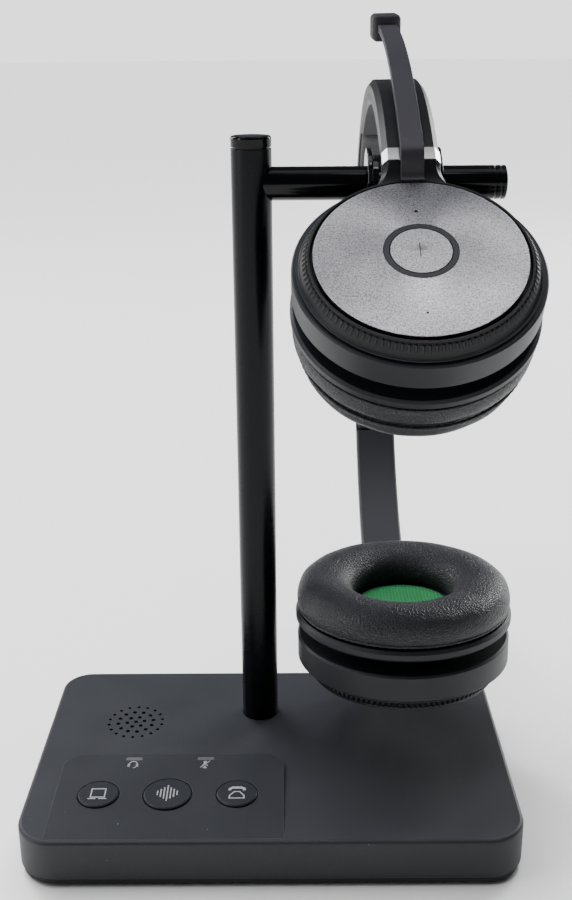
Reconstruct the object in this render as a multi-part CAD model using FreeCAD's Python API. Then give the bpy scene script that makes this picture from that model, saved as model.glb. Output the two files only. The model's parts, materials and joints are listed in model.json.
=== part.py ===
import FreeCAD, Part

import math
import os

# Wireless office headset on its charging stand.
#
# A dual-ear headset hangs on a horizontal arm.  The arm grows out of a pole that stands in a flat
# base unit with a raised control panel.  Units are millimetres.  The origin is the centre of the
# underside, +X points to the viewer's right, +Y to the back and +Z up.
os.makedirs("parts", exist_ok=True)
Vec = FreeCAD.Vector

# ---------------------------------------------------------------- driving dimensions: base unit
BASE_W, BASE_D, BASE_TOP = 150.0, 94.5, 16.0
CORNER_FRONT, CORNER_BACK = 12.0, 9.5
PAD_T, PLATE_T, WALL = 1.2, 2.0, 2.2
PAD_INSET = 4.5
SEAM_Z = PAD_T + PLATE_T
EDGE_ROUND = 1.2

# control panel: a thin wedge let into the top cover, flush in front and proud at the back
PANEL_X0, PANEL_X1 = -66.0, 4.0
PANEL_Y0, PANEL_Y1 = -45.6, -5.8
PANEL_CORNER = 6.5
PANEL_RISE = 1.5
POCKET_Z = BASE_TOP - 1.2
POCKET_WALL = 1.4
MARGIN = 10.0
ABOVE_ALL = BASE_TOP + 10.0
BUTTON_Y = -25.8
BUTTONS = {"button_computer": (-52.7, 6.2), "button_voice": (-31.6, 7.3), "button_phone": (-10.4, 6.2)}
BUTTON_GAP = 0.3
BUTTON_PROUD = 0.5
BUTTON_CHAMFER = 0.35
STEM_INSET, STEM_GUIDE = 2.6, 1.6
LIGHT_X, LIGHT_Y, LIGHT_L, LIGHT_W = (-43.9, -21.1), -8.2, 5.2, 1.7
GRILLE = (-46.3, 15.0)
GRILLE_RINGS = ((0.0, 1, 0.75), (2.9, 6, 0.75), (5.9, 12, 0.75), (9.0, 18, 0.6))

# inside of the base unit
POST_XY = ((-66.0, -37.0), (66.0, -37.0), (-66.0, 38.0), (66.0, 38.0))
POST_R, SCREW_R, SCREW_HEAD_R = 3.2, 1.25, 2.6
BOARD_Z0, BOARD_Z1 = 7.0, 8.6
STEM_Z = BOARD_Z1 + 2.6
BOARD_X0, BOARD_X1, BOARD_Y0, BOARD_Y1 = -62.0, 30.0, -40.0, 41.0
PORT_X = {"usb_port_computer": -52.0, "usb_port_phone": -34.0}
PORT_W, PORT_H, PORT_L = 9.0, 3.3, 7.4
SOCKET_R = 12.0
UNDER_TOP = BASE_TOP - WALL

# ---------------------------------------------------------------- driving dimensions: stand
POLE = (-4.3, 21.6)
POLE_R, POLE_WALL, POLE_TOP = 5.96, 1.1, 207.3
CAP_H = 3.6
ARM_R, ARM_WALL, ARM_Z, ARM_END = 4.87, 1.0, 193.6, 69.7
END_CAP_L = 5.0
STUD_R = 2.5
RING_GROOVES, GROOVE_DEPTH, GROOVE_HALF_W = (1.5, 3.3), 0.35, 0.3
SADDLE_R, FLANGE_R, SLEEVE_R = 8.0, 10.1, 6.0
CRADLE_BORE = ARM_R + 0.06
CRADLE_X0, CRADLE_X1 = 29.0, 50.4
FLANGE_T = 1.6
SADDLE_FOOT = 1.0
PIN_R, PIN_SINK = 1.1, 0.8

# ---------------------------------------------------------------- driving dimensions: headset
HEAD_X = 42.3
HANG_ROLL_DEG = -0.75
HANG_PIVOT = (HEAD_X, 0.0, 73.6)
BAND_C = (63.1, 125.5)
BAND_RO, BAND_RI = 95.6, 88.0
BAND_HALF, BAND_FACE = 7.9, 6.45
BAND_SPLIT = 91.4
BEVEL_R, INNER_BEVEL_R, INNER_BEVEL_X = 93.9, 89.0, 0.7
PAD_SEAT_R = 90.0
STRIP_HALF, STRIP_RI, STRIP_RO = 4.7, 91.75, 92.75
GROOVE_TOP, GROOVE_HALF = 94.1, 5.0
BAND_MID_DEG = 13.06
BAND_END_DEG = 124.2
COLLAR_DEG = 2.9
COLLAR_PROUD = 0.25
STRIP_DEG = 28.0
PAD_HALF_DEG = 45.5
CONTACT_X = 3.5

CUP_UPPER = ((-21.18, 180.06), -55.73)
CUP_LOWER = ((11.52, 39.13), 87.19)

DISC_R, DISC_DOME, DISC_T = 28.2, 2.0, 1.2
LIP_RI, LIP_RO, LIP_A = 29.15, 29.75, 0.45
CUP_R = 34.0
HOUSING_A0, HOUSING_A1 = 4.4, 13.8
HUB_FLOOR_A = 3.2
CUP_WALL = 1.6
STRIP_CLEAR_R = 40.0
PIVOT_A = 15.0
FLANGE_A0, FLANGE_A1, EAR_FLANGE_R = 18.6, 22.0, 34.5
DRIVER_R = 14.5
CALL_R, RING_RI, RING_RO = 8.05, 8.35, 9.8
DISC_HOLES = ((0.0, -21.1, 0.3), (0.2, 15.1, 0.55), (-1.4, 21.6, 0.25), (1.4, 21.6, 0.25))

BOOM_BEND, BOOM_APEX_U, BOOM_APEX_N = 195.0, 34.4, 5.1
BOOM_W_ROOT, BOOM_W_TIP, BOOM_T = 6.5, 6.0, 2.2
BOOM_END_U = 130.0
MIC_U, MIC_L, MIC_W, MIC_T = 134.0, 14.0, 9.8, 8.8
MIC_ROUND = 1.8


# sections of the ear cushions as (radius, height) points, from the outer foot over the top to the inner foot
CUSHION_FOOT_A = FLANGE_A1 + 0.05
CUSHION_LOWER = (
    (32.4, CUSHION_FOOT_A), (34.1, 24.0), (34.2, 27.4), (32.6, 31.0), (29.0, 33.0), (24.4, 33.3),
    (19.6, 32.2), (16.4, 29.2), (15.5, 25.4), (16.6, CUSHION_FOOT_A),
)
CUSHION_UPPER = (
    (32.4, CUSHION_FOOT_A), (34.1, 24.2), (34.2, 28.2), (32.5, 30.4), (32.1, 32.8), (32.3, 35.3),
    (31.1, 37.9), (28.4, 39.4), (24.4, 39.7), (20.0, 38.3), (16.8, 34.6), (15.5, 29.0),
    (15.6, 25.0), (16.6, CUSHION_FOOT_A),
)


# ---------------------------------------------------------------- small helpers
def save(name, shape):
    """Write one node's STEP file."""
    shape = shape.removeSplitter() if len(shape.Solids) == 1 else shape
    if not shape.isValid():
        print("INVALID", name)
    print("%-24s solids %2d volume %9.1f" % (name, len(shape.Solids), shape.Volume))
    shape.exportStep("parts/%s.step" % name)


def hang(name, shape):
    """Write one node of the headset, which hangs a little out of plumb on the arm."""
    hung = shape.copy()
    hung.rotate(Vec(*HANG_PIVOT), Vec(0, 1, 0), HANG_ROLL_DEG)
    save(name, hung)


def hung_x(z):
    """Where the headset's middle plane is in X at a height."""
    return HEAD_X + math.tan(math.radians(HANG_ROLL_DEG)) * (z - HANG_PIVOT[2])


def face_of(points):
    """Closed flat face through the given points."""
    return Part.Face(Part.makePolygon([Vec(*p) for p in points] + [Vec(*points[0])]))


def turned(profile):
    """Solid of revolution about Z from (radius, height) points."""
    return face_of([(r, 0, z) for r, z in profile]).revolve(Vec(0, 0, 0), Vec(0, 0, 1), 360)


def ring(r_in, r_out, z0, z1):
    """Plain ring about Z."""
    return turned([(r_in, z0), (r_out, z0), (r_out, z1), (r_in, z1)])


def disc(r, z0, z1, x=0.0, y=0.0):
    """Plain round plate with its axis along Z."""
    return Part.makeCylinder(r, z1 - z0, Vec(x, y, z0))


def block(x0, x1, y0, y1, z0, z1):
    """Box given by its limits."""
    return Part.makeBox(x1 - x0, y1 - y0, z1 - z0, Vec(x0, y0, z0))


def outline(x0, x1, y0, y1, r_front, r_back):
    """Wire of a rectangle at z = 0 with round corners; a radius of 0 leaves the corner square."""
    corners = ((x0, y0, r_front, 180), (x1, y0, r_front, 270), (x1, y1, r_back, 0), (x0, y1, r_back, 90))
    edges = []
    ends = []
    for x, y, r, start in corners:
        if r <= 0:
            ends.append((Vec(x, y, 0), Vec(x, y, 0)))
            continue
        cx = x + r if x == x0 else x - r
        cy = y + r if y == y0 else y - r
        points = []
        for step in (0, 45, 90):
            angle = math.radians(start + step)
            points.append(Vec(cx + r * math.cos(angle), cy + r * math.sin(angle), 0))
        edges.append(Part.Arc(*points).toShape())
        ends.append((points[0], points[2]))
    for i in range(4):
        edges.append(Part.LineSegment(ends[i][1], ends[(i + 1) % 4][0]).toShape())
    return Part.Wire(Part.__sortEdges__(edges))


def rounded_slab(x0, x1, y0, y1, r_front, r_back, z0, z1):
    """Rectangle with round corners, raised from z0 to z1."""
    slab = Part.Face(outline(x0, x1, y0, y1, r_front, r_back)).extrude(Vec(0, 0, z1 - z0))
    slab.translate(Vec(0, 0, z0))
    return slab


def base_slab(inset, z0, z1):
    """Slab with the base's own outline, pulled in by inset."""
    half_w, half_d = BASE_W / 2 - inset, BASE_D / 2 - inset
    front, back = max(CORNER_FRONT - inset, 0.5), max(CORNER_BACK - inset, 0.5)
    return rounded_slab(-half_w, half_w, -half_d, half_d, front, back, z0, z1)


def fuse(shapes):
    """Join a list of solids into one."""
    joined = shapes[0]
    for shape in shapes[1:]:
        joined = joined.fuse(shape)
    return joined.removeSplitter()


def group(shapes):
    """Several separate solids that share one node."""
    return Part.makeCompound(shapes)


# ---------------------------------------------------------------- base unit
def panel_wedge():
    """The panel's outline raised from the floor of its pocket to its sloping top face."""
    slab = rounded_slab(PANEL_X0, PANEL_X1, PANEL_Y0, PANEL_Y1, 0, PANEL_CORNER, POCKET_Z, BASE_TOP + 3)
    y_near, y_far = PANEL_Y0 - MARGIN, PANEL_Y1 + MARGIN
    x_near = PANEL_X0 - MARGIN
    roof = face_of([
        (x_near, y_near, panel_height(y_near)),
        (x_near, y_far, panel_height(y_far)),
        (x_near, y_far, ABOVE_ALL),
        (x_near, y_near, ABOVE_ALL),
    ]).extrude(Vec(PANEL_X1 - PANEL_X0 + 2 * MARGIN, 0, 0))
    return slab.cut(roof)


def panel_height(y):
    """Height of the panel's top face at depth y."""
    return BASE_TOP + PANEL_RISE * (y - PANEL_Y0) / (PANEL_Y1 - PANEL_Y0)


def grille_holes(z0, z1):
    """Round sound holes in four rings."""
    holes = []
    for ring_r, count, hole_r in GRILLE_RINGS:
        for i in range(count):
            angle = 2 * math.pi * i / count + 0.18
            x = GRILLE[0] + ring_r * math.cos(angle)
            y = GRILLE[1] + ring_r * math.sin(angle)
            holes.append(disc(hole_r, z0, z1, x, y))
    return group(holes)


def build_base():
    shell = base_slab(0, SEAM_Z, BASE_TOP)
    top_edges = [e for e in shell.Edges if abs(e.BoundBox.ZMin - BASE_TOP) < 1e-6]
    shell = shell.makeFillet(EDGE_ROUND, top_edges)
    shell = shell.cut(base_slab(WALL, SEAM_Z - 1, UNDER_TOP))
    shell = shell.fuse(panel_underlay()).cut(panel_wedge())
    posts = [disc(POST_R, SEAM_Z, UNDER_TOP + 0.2, x, y) for x, y in POST_XY]
    shell = fuse([shell] + posts)
    for x, y in POST_XY:
        shell = shell.cut(disc(SCREW_R, SEAM_Z - 1, SEAM_Z + 8.0, x, y))
    shell = shell.cut(grille_holes(UNDER_TOP - 2, BASE_TOP + 1))
    shell = shell.cut(disc(POLE_R + 0.1, SEAM_Z, BASE_TOP + 1, *POLE))
    for x, r in BUTTONS.values():
        shell = shell.cut(disc(r - STEM_GUIDE, BOARD_Z0, ABOVE_ALL, x, BUTTON_Y))
    for x in LIGHT_X:
        shell = shell.cut(block(x - 2.0, x + 2.0, LIGHT_Y - 0.6, LIGHT_Y + 0.6, BOARD_Z0, ABOVE_ALL))
    for x in PORT_X.values():
        shell = shell.cut(port_block(x, 0.15, BASE_D / 2 - WALL - 3, BASE_D / 2 + 1))
    save("base_top_cover", shell)

    panel = panel_wedge()
    for x, r in BUTTONS.values():
        panel = panel.cut(disc(r + BUTTON_GAP, BOARD_Z0, ABOVE_ALL, x, BUTTON_Y))
    for x in LIGHT_X:
        panel = panel.cut(light_bar(x, BOARD_Z0, ABOVE_ALL))
    save("control_panel", panel)

    lights = []
    for x in LIGHT_X:
        lights.append(light_bar(x, POCKET_Z, panel_height(LIGHT_Y) - 0.05))
    save("status_lights", group(lights))

    plate = base_slab(0.6, PAD_T, SEAM_Z)
    for x, y in POST_XY:
        plate = plate.cut(disc(1.6, PAD_T - 1, SEAM_Z + 1, x, y))
        plate = plate.cut(disc(SCREW_HEAD_R + 0.4, PAD_T - 1, PAD_T + 1.2, x, y))
    save("base_bottom_plate", plate)
    save("anti_slip_pad", base_slab(PAD_INSET, 0, PAD_T))

    screws = []
    for x, y in POST_XY:
        head = disc(SCREW_HEAD_R, PAD_T + 0.1, PAD_T + 1.2, x, y)
        screws.append(head.fuse(disc(SCREW_R, PAD_T + 1.2, SEAM_Z + 7, x, y)))
    save("base_screws", group(screws))

    ballast = block(34.0, 60.0, -36.0, 38.0, SEAM_Z, SEAM_Z + 6)
    ballast = ballast.fuse(block(-30.0, 34.0, 4.0, 38.0, SEAM_Z, SEAM_Z + 3))
    save("ballast_plate", ballast.cut(disc(SOCKET_R / 2, 0, 20, *POLE)))
    build_base_electronics()


def panel_underlay():
    """Thickening under the panel's pocket, so that the cover keeps its wall there."""
    low = POCKET_Z - POCKET_WALL
    slab = rounded_slab(PANEL_X0 - 1.5, PANEL_X1 + 1.5, PANEL_Y0 - 0.5, PANEL_Y1 + 1.5, 0, 8, low, UNDER_TOP)
    return slab.common(base_slab(WALL / 2, low, UNDER_TOP))


def light_bar(x, z0, z1):
    """One slim light window in the panel."""
    half_l, half_w = LIGHT_L / 2, LIGHT_W / 2
    return rounded_slab(x - half_l, x + half_l, LIGHT_Y - half_w, LIGHT_Y + half_w, 0.4, 0.4, z0, z1)


def port_block(x, grow, y0, y1):
    """Stadium-shaped block of a connector mouth, along Y."""
    half_w, half_h = PORT_W / 2 + grow, PORT_H / 2 + grow
    z_mid = BOARD_Z1 + 0.1 + PORT_H / 2
    slab = rounded_slab(-half_w, half_w, -half_h, half_h, half_h - 0.05, half_h - 0.05, 0, y1 - y0)
    slab.rotate(Vec(0, 0, 0), Vec(1, 0, 0), -90)
    slab.translate(Vec(x, y0, z_mid))
    return slab


def build_base_electronics():
    board = block(BOARD_X0, BOARD_X1, BOARD_Y0, BOARD_Y1, BOARD_Z0, BOARD_Z1)
    board = board.cut(disc(SOCKET_R + 0.5, 0, 20, *POLE)).cut(block(-31, 61, 3, 50, 0, SEAM_Z + 3.3))
    for x, y in POST_XY:
        board = board.cut(disc(POST_R + 0.4, 0, 20, x, y))
    save("base_circuit_board", board)

    for name, x in PORT_X.items():
        mouth_y = BASE_D / 2 - 0.6
        shell = port_block(x, 0.0, mouth_y - PORT_L, mouth_y)
        tongue = block(x - 3.2, x + 3.2, mouth_y - PORT_L + 1, mouth_y - 1.2, BOARD_Z1 + 1.4, BOARD_Z1 + 2.1)
        save(name, shell.cut(port_block(x, -0.35, mouth_y - PORT_L + 1, mouth_y + 1)).fuse(tongue))

    speaker = disc(11.0, 9.4, 12.6, *GRILLE).fuse(disc(8.0, 8.7, 9.4, *GRILLE))
    gasket = disc(11.6, 12.6, UNDER_TOP - 0.1, *GRILLE).cut(disc(9.6, 12.5, 15, *GRILLE))
    save("base_speaker", speaker.fuse(gasket))
    save("dect_antenna", block(-24, 24, -40.5, -39.5, BOARD_Z1, BOARD_Z1 + 4.2))

    switches = []
    for x, _r in BUTTONS.values():
        switches.append(fuse([
            block(x - 3, x + 3, BUTTON_Y - 3, BUTTON_Y + 3, BOARD_Z1, BOARD_Z1 + 1.5),
            disc(1.4, BOARD_Z1 + 1.5, BOARD_Z1 + 1.9, x, BUTTON_Y),
        ]))
    save("button_switches", group(switches))

    for name, (x, r) in BUTTONS.items():
        top = panel_height(BUTTON_Y) + BUTTON_PROUD
        cap = disc(r, POCKET_Z + 0.7, top, x, BUTTON_Y)
        rim = [e for e in cap.Edges if abs(e.BoundBox.ZMin - top) < 1e-6]
        cap = cap.makeChamfer(BUTTON_CHAMFER, rim)
        stem = disc(r - STEM_INSET, STEM_Z, POCKET_Z + 1.0, x, BUTTON_Y)
        save(name, cap.fuse(stem))


# ---------------------------------------------------------------- stand
def along_x(r, x0, x1, y, z):
    """Round bar along X."""
    return Part.makeCylinder(r, x1 - x0, Vec(x0, y, z), Vec(1, 0, 0))


def build_stand():
    px, py = POLE
    bore = POLE_R - POLE_WALL
    tube = disc(POLE_R, SEAM_Z + 3.6, POLE_TOP - CAP_H, px, py).cut(disc(bore, 0, 220, px, py))
    arm_hole = along_x(STUD_R + 0.1, px, px + 10, py, ARM_Z)
    save("pole_tube", tube.cut(arm_hole))

    cap = disc(POLE_R, POLE_TOP - CAP_H + 0.5, POLE_TOP, px, py)
    crown = [e for e in cap.Edges if abs(e.BoundBox.ZMin - POLE_TOP) < 1e-6]
    cap = cap.makeFillet(0.8, crown)
    neck = disc(POLE_R - 0.5, POLE_TOP - CAP_H, POLE_TOP - CAP_H + 0.6, px, py)
    spigot = disc(bore - 0.05, POLE_TOP - CAP_H - 5, POLE_TOP - CAP_H + 0.1, px, py)
    save("pole_cap", fuse([cap, neck, spigot]))

    socket = disc(SOCKET_R, SEAM_Z + 3.0, SEAM_Z + 4.6, px, py)
    socket = socket.fuse(disc(POLE_R + 2.0, SEAM_Z + 4.6, UNDER_TOP - 0.1, px, py))
    socket = socket.cut(disc(POLE_R, SEAM_Z + 3.6, 30, px, py))
    socket = socket.fuse(disc(bore, SEAM_Z, SEAM_Z + 14, px, py))
    save("pole_socket", socket)

    arm = along_x(ARM_R, px, ARM_END - END_CAP_L, py, ARM_Z)
    arm = arm.cut(along_x(ARM_R - ARM_WALL, px - 1, ARM_END, py, ARM_Z)).cut(disc(POLE_R, 180, 207, px, py))
    save("arm_tube", arm)

    stud = along_x(STUD_R, px + bore - 3.4, px + 22, py, ARM_Z)
    plug = along_x(ARM_R - ARM_WALL, px + 9, px + 22, py, ARM_Z)
    head = along_x(3.6, px - 2.2, px + 2.0, py, ARM_Z)
    save("arm_stud", fuse([stud, plug, head]))

    end = along_x(ARM_R, ARM_END - END_CAP_L, ARM_END, py, ARM_Z)
    lip = [e for e in end.Edges if abs(e.BoundBox.XMin - ARM_END) < 1e-6]
    end = end.makeFillet(0.6, lip)
    for back in RING_GROOVES:
        x0 = ARM_END - back
        groove = along_x(ARM_R + 1, x0 - GROOVE_HALF_W, x0 + GROOVE_HALF_W, py, ARM_Z)
        end = end.cut(groove.cut(along_x(ARM_R - GROOVE_DEPTH, x0 - 1, x0 + 1, py, ARM_Z)))
    spigot = along_x(ARM_R - ARM_WALL - 0.02, ARM_END - END_CAP_L - 6, ARM_END - 4, py, ARM_Z)
    save("arm_end_cap", end.fuse(spigot))
    build_cradle()


def build_cradle():
    """Swivelling saddle on the arm: a sleeve with a half-round seat and two cheeks on top."""
    py = POLE[1]
    seat = along_x(SADDLE_R, CRADLE_X0 + 1, CRADLE_X1 - 1, py, ARM_Z)
    cheeks = []
    for x0 in (CRADLE_X0, CRADLE_X1 - FLANGE_T):
        cheek = along_x(FLANGE_R, x0, x0 + FLANGE_T, py, ARM_Z)
        cheeks.append(cheek.makeFillet(0.5, [e for e in cheek.Edges if e.Length > 50]))
    above = block(0, 80, 0, 50, ARM_Z + SADDLE_FOOT, ARM_Z + 20)
    top = fuse([seat] + cheeks).common(above)
    sleeve = along_x(SLEEVE_R, CRADLE_X0, CRADLE_X1, py, ARM_Z)
    cradle = fuse([sleeve, top]).cut(along_x(CRADLE_BORE, 0, 80, py, ARM_Z))
    to_band = Vec(0, py - BAND_C[0], ARM_Z - BAND_C[1]).normalize()
    pins = []
    middle = hung_x(ARM_Z + SADDLE_R)
    for dx in (-CONTACT_X, CONTACT_X):
        foot = Vec(middle + dx, py, ARM_Z) + to_band * (CRADLE_BORE + PIN_SINK)
        cradle = cradle.cut(Part.makeCylinder(PIN_R, 6, foot, to_band))
        pins.append(Part.makeCylinder(PIN_R, SADDLE_R + 0.08 - CRADLE_BORE - PIN_SINK, foot, to_band))
    save("hanger_cradle", cradle)
    save("charge_contacts", group(pins))


# ---------------------------------------------------------------- headband
def band_sector(section, start_deg, end_deg):
    """Sweep an (x, radius) section about the headband's centre between two angles."""
    cos_a, sin_a = math.cos(math.radians(start_deg)), math.sin(math.radians(start_deg))
    points = []
    for x, r in section:
        points.append((HEAD_X + x, BAND_C[0] + r * cos_a, BAND_C[1] + r * sin_a))
    centre = Vec(0, BAND_C[0], BAND_C[1])
    return face_of(points).revolve(centre, Vec(1, 0, 0), end_deg - start_deg)


def bar_section(half, r0, r1):
    """Plain rectangle section."""
    return [(-half, r0), (half, r0), (half, r1), (-half, r1)]


def outer_section(grow):
    """Section of the outer cover, with bevelled outer corners."""
    h, f = BAND_HALF + grow, BAND_FACE + grow / 2
    return [(-h, BAND_SPLIT), (h, BAND_SPLIT), (h, BEVEL_R),
            (f, BAND_RO + grow), (-f, BAND_RO + grow), (-h, BEVEL_R)]


def collar_section(grow):
    """Section of the metal collar: the whole band with bevels, a little proud."""
    h, f = BAND_HALF + grow, BAND_FACE + grow / 2
    flat = h - INNER_BEVEL_X
    return [(-flat, BAND_RI - grow), (flat, BAND_RI - grow), (h, INNER_BEVEL_R), (h, BEVEL_R),
            (f, BAND_RO + grow), (-f, BAND_RO + grow), (-h, BEVEL_R), (-h, INNER_BEVEL_R)]


def mirrored_deg(angle):
    """The matching angle on the other half of the headband."""
    return 2 * BAND_MID_DEG - angle


def build_headband():
    top, low = BAND_END_DEG, mirrored_deg(BAND_END_DEG)
    cover = band_sector(outer_section(0), low, top)
    cover = cover.cut(band_sector(bar_section(GROOVE_HALF, BAND_SPLIT - 1, GROOVE_TOP), low - 1, top + 1))
    hang("headband_outer_cover", cover)

    h, flat = BAND_HALF, BAND_HALF - INNER_BEVEL_X
    inner = [(-flat, BAND_RI), (flat, BAND_RI), (h, INNER_BEVEL_R),
             (h, BAND_SPLIT), (-h, BAND_SPLIT), (-h, INNER_BEVEL_R)]
    liner = band_sector(inner, low, top)
    pad_low, pad_top = BAND_MID_DEG - PAD_HALF_DEG, BAND_MID_DEG + PAD_HALF_DEG
    liner = liner.cut(band_sector(bar_section(h + 1, BAND_RI - 1, PAD_SEAT_R), pad_low, pad_top))
    contact_deg = math.degrees(math.atan2(ARM_Z - BAND_C[1], POLE[1] - BAND_C[0]))
    slots = []
    pads = []
    for dx in (-CONTACT_X, CONTACT_X):
        section = [(dx - 1.6, BAND_RI), (dx + 1.6, BAND_RI), (dx + 1.6, 88.5), (dx - 1.6, 88.5)]
        pads.append(band_sector(section, contact_deg - 1.6, contact_deg + 1.6))
        slots.append(band_sector([(x, r - 0.2 if r < 88.2 else r) for x, r in section],
                                 contact_deg - 1.6, contact_deg + 1.6))
    hang("headband_inner_cover", liner.cut(group(slots)))
    hang("charge_pads", group(pads))

    hang("headband_pad", band_sector(bar_section(h - 0.4, BAND_RI, PAD_SEAT_R), pad_low + 0.3, pad_top - 0.3))
    hang("headband_spring", band_sector(bar_section(STRIP_HALF, 93.2, 94.0), low + 0.5, top - 0.5))
    for name, start in (("collar_upper", top), ("collar_lower", low - COLLAR_DEG)):
        collar = band_sector(collar_section(COLLAR_PROUD), start, start + COLLAR_DEG)
        slot = band_sector(bar_section(GROOVE_HALF, BAND_SPLIT, 93.1), start - 1, start + COLLAR_DEG + 1)
        hang(name, collar.cut(slot))


# ---------------------------------------------------------------- ear cups, each in its own frame
# Local frame of a cup: origin at the rim plane of its outer disc, Z towards the ear, Y towards
# the headband's end, so that heights below are distances from the disc towards the ear.
def cup_placement(cup):
    """Placement of a cup from its centre and the angle of its ear axis above +Y."""
    (y, z), ear_deg = cup
    ear = Vec(0, math.cos(math.radians(ear_deg)), math.sin(math.radians(ear_deg)))
    side = 1 if ear_deg > 0 else -1
    up = Vec(0, ear.z * side, -ear.y * side)
    across = up.cross(ear)
    m = FreeCAD.Matrix(across.x, up.x, ear.x, HEAD_X,
                       across.y, up.y, ear.y, y,
                       across.z, up.z, ear.z, z,
                       0, 0, 0, 1)
    return FreeCAD.Placement(m)


def placed(shape, cup):
    """Move a locally built shape into the object's frame."""
    moved = shape.copy()
    moved.Placement = cup_placement(cup).multiply(moved.Placement)
    return moved


def dome_height(r):
    """Height of the silver disc's outer face at radius r."""
    sphere = (DISC_R ** 2 + DISC_DOME ** 2) / (2 * DISC_DOME)
    return -DISC_DOME + sphere - math.sqrt(sphere ** 2 - r ** 2)


def dome_plate(r_in, r_out, lift, thickness):
    """Domed washer that follows the disc's curvature."""
    r_mid = (r_in + r_out) / 2
    edges = []
    for offset, (a, b) in ((lift, (r_in, r_out)), (lift + thickness, (r_out, r_in))):
        p = [Vec(r, 0, dome_height(r) + offset) for r in (a, r_mid, b)]
        edges.append(Part.Arc(*p).toShape())
    last = [edges[0].Vertexes[-1].Point, edges[1].Vertexes[0].Point]
    first = [edges[1].Vertexes[-1].Point, edges[0].Vertexes[0].Point]
    edges.insert(1, Part.LineSegment(*last).toShape())
    edges.append(Part.LineSegment(*first).toShape())
    face = Part.Face(Part.Wire(Part.__sortEdges__(edges)))
    return face.revolve(Vec(0, 0, 0), Vec(0, 0, 1), 360)


def housing():
    """Cup body: bevelled front lip, straight band, rear wall with the pivot lugs."""
    a0, a1, r = HOUSING_A0, HOUSING_A1, CUP_R
    inner = r - CUP_WALL
    body = turned([
        (20.0, 0.5), (21.7, 0.5), (21.7, HUB_FLOOR_A), (29.7, HUB_FLOOR_A),
        (29.7, a0), (32.7, a0), (32.7, a0 + 0.4),
        (32.2, a0 + 0.5), (32.2, a0 + 0.9), (r - 0.4, a0 + 0.9), (r, a0 + 1.3), (r, a1 - 0.6),
        (r - 0.6, a1), (17.0, a1), (17.0, a1 - CUP_WALL), (inner, a1 - CUP_WALL), (inner, a0 + 1.9),
        (31.2, a0 + 1.2), (20.0, a0 + 1.2),
    ])
    for side in (-1, 1):
        x0, x1 = sorted((side * 14.6, side * 17.1))
        lug = block(x0, x1, -2.4, 2.4, a1 - CUP_WALL, PIVOT_A + 1.45)
        body = body.fuse(lug)
    pin = Part.makeCylinder(1.05, 50, Vec(-25, 0, PIVOT_A), Vec(1, 0, 0))
    window = block(-17.6, 17.6, -2.6, 2.6, PIVOT_A - 1.1, PIVOT_A + 1.1)
    return body.cut(pin.common(window))


def knurled_ring():
    """Conical grip ring in front of the housing's lip."""
    return turned([(LIP_RO, 0.9), (30.0, 0.9), (32.2, 4.1), (32.2, 4.4), (LIP_RO, 4.4)])


def gimbal():
    """Pivot ring: pins along X sit in the housing, pins along Y carry the ear plate."""
    body = ring(11.6, 13.6, PIVOT_A - 1.0, PIVOT_A + 1.0)
    for side in (-1, 1):
        body = body.fuse(Part.makeCylinder(0.98, 4.6, Vec(side * 12.6, 0, PIVOT_A), Vec(side, 0, 0)))
        body = body.fuse(Part.makeCylinder(0.98, 4.6, Vec(0, side * 12.6, PIVOT_A), Vec(0, -side, 0)))
    return body


def ear_plate():
    """Movable plate that carries driver and cushion."""
    plate = turned([
        (0.0, 18.4), (20.0, 18.4), (22.0, FLANGE_A0 + 0.3), (EAR_FLANGE_R - 0.8, FLANGE_A0),
        (EAR_FLANGE_R, FLANGE_A0 + 0.8), (EAR_FLANGE_R, FLANGE_A1 - 0.9), (EAR_FLANGE_R - 0.9, FLANGE_A1),
        (DRIVER_R + 0.6, FLANGE_A1), (DRIVER_R + 0.6, 19.4), (0.0, 19.4),
    ])
    for side in (-1, 1):
        y0, y1 = sorted((side * 7.6, side * 10.8))
        plate = plate.fuse(block(-2.4, 2.4, y0, y1, PIVOT_A - 1.9, 18.5))
    pin = Part.makeCylinder(1.05, 24, Vec(0, -12, PIVOT_A), Vec(0, 1, 0))
    return plate.cut(pin)


def driver():
    """Loudspeaker capsule with its magnet."""
    return ring(6.0, DRIVER_R, 19.45, 21.7).fuse(disc(6.0, 19.45, 21.2)).removeSplitter()


def neck_section(cup, deg, grow):
    """The headband's section at an angle, in the cup's own frame."""
    cos_a, sin_a = math.cos(math.radians(deg)), math.sin(math.radians(deg))
    to_local = cup_placement(cup).inverse()
    points = []
    for x, r in collar_section(grow):
        world = Vec(HEAD_X + x, BAND_C[0] + r * cos_a, BAND_C[1] + r * sin_a)
        points.append(to_local.multVec(world))
    if points[0].x > 0:
        points = [Vec(-p.x, p.y, p.z) for p in points]
    return points


def neck_station(y, out, deep, half, face):
    """Section of the neck across Y: out is its outer face's height towards the disc side."""
    return [Vec(-half + 0.7, y, deep), Vec(half - 0.7, y, deep), Vec(half, y, deep - 1.0),
            Vec(half, y, out + 1.7), Vec(face, y, out), Vec(-face, y, out),
            Vec(-half, y, out + 1.7), Vec(-half, y, deep - 1.0)]


def yoke(cup, band_deg):
    """Ring round the disc with the neck that rises to the headband's collar."""
    start = neck_section(cup, band_deg, -0.15)
    out0, deep0 = start[4].z, start[0].z
    mid = neck_station(31.5, min(-0.25, out0 * 0.28), max(deep0, 3.4) * 0.5 + 2.4, 8.5, 7.0)
    foot = neck_station(27.4, 0.6, 4.6, 11.8, 10.1)
    wires = [Part.makePolygon(pts + [pts[0]]) for pts in (start, mid, foot)]
    neck = Part.makeLoft(wires, True, False)
    lip = ring(LIP_RI, LIP_RO, LIP_A, HUB_FLOOR_A)
    body = neck.cut(disc(LIP_RI, -10, 10)).cut(cup_envelope())
    return body.fuse(lip)


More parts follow.
